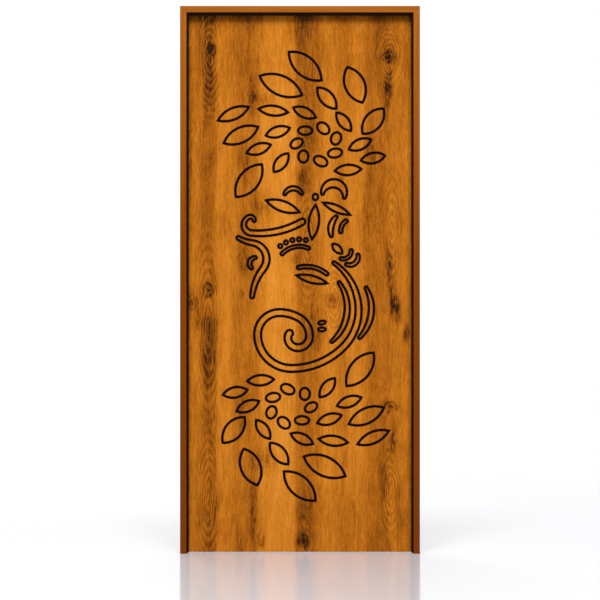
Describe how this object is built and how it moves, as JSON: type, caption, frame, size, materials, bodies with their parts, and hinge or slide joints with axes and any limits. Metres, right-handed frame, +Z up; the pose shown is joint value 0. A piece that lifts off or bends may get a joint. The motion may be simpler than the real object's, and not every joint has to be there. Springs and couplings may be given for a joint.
{
  "type": "hinged wooden door set",
  "caption": "Solid wooden door leaf with routed leaf sprays and an elephant-headed line figure, hung on butt hinges in a slim mitred frame.",
  "frame": {"origin": "middle of the door set on the floor, halfway through its full depth", "axes": "+Z up, +Y away from the viewer of the carved face, towards which the leaf opens, +X to that viewer's right"},
  "size_m": [0.915, 0.0816, 2.09],
  "materials": {
    "leaf_wood": "satin lacquer over warm orange-brown wood, grooves painted black",
    "jamb_wood": "satin lacquered brown wood",
    "head_wood": "satin lacquered brown wood",
    "stop_wood": "wood stained black",
    "seal_rubber": "matt black",
    "hinge_steel": "satin",
    "screw_steel": "satin"
  },
  "bodies": {
    "frame": {"hinge_jamb": "jamb_wood", "closing_jamb": "jamb_wood", "head": "head_wood", "stop_hinge_side": "stop_wood", "stop_closing_side": "stop_wood", "stop_head": "stop_wood", "seal_hinge_side": "seal_rubber", "seal_closing_side": "seal_rubber", "seal_head": "seal_rubber", "mitre_screws": "screw_steel", "top_hinge_frame_flap": "hinge_steel", "top_hinge_pin": "hinge_steel", "top_hinge_frame_screws": "screw_steel", "middle_hinge_frame_flap": "hinge_steel", "middle_hinge_pin": "hinge_steel", "middle_hinge_frame_screws": "screw_steel", "bottom_hinge_frame_flap": "hinge_steel", "bottom_hinge_pin": "hinge_steel", "bottom_hinge_frame_screws": "screw_steel"},
    "leaf": {"leaf": "leaf_wood", "top_hinge_leaf_flap": "hinge_steel", "top_hinge_leaf_screws": "screw_steel", "middle_hinge_leaf_flap": "hinge_steel", "middle_hinge_leaf_screws": "screw_steel", "bottom_hinge_leaf_flap": "hinge_steel", "bottom_hinge_leaf_screws": "screw_steel"}
  },
  "joints": [
    {"name": "leaf_swing", "type": "hinge", "parent": "frame", "child": "leaf", "pos_m": [-0.432, 0.03525, 0], "axis": [0, 0, 1], "range_deg": [0, 180]}
  ]
}
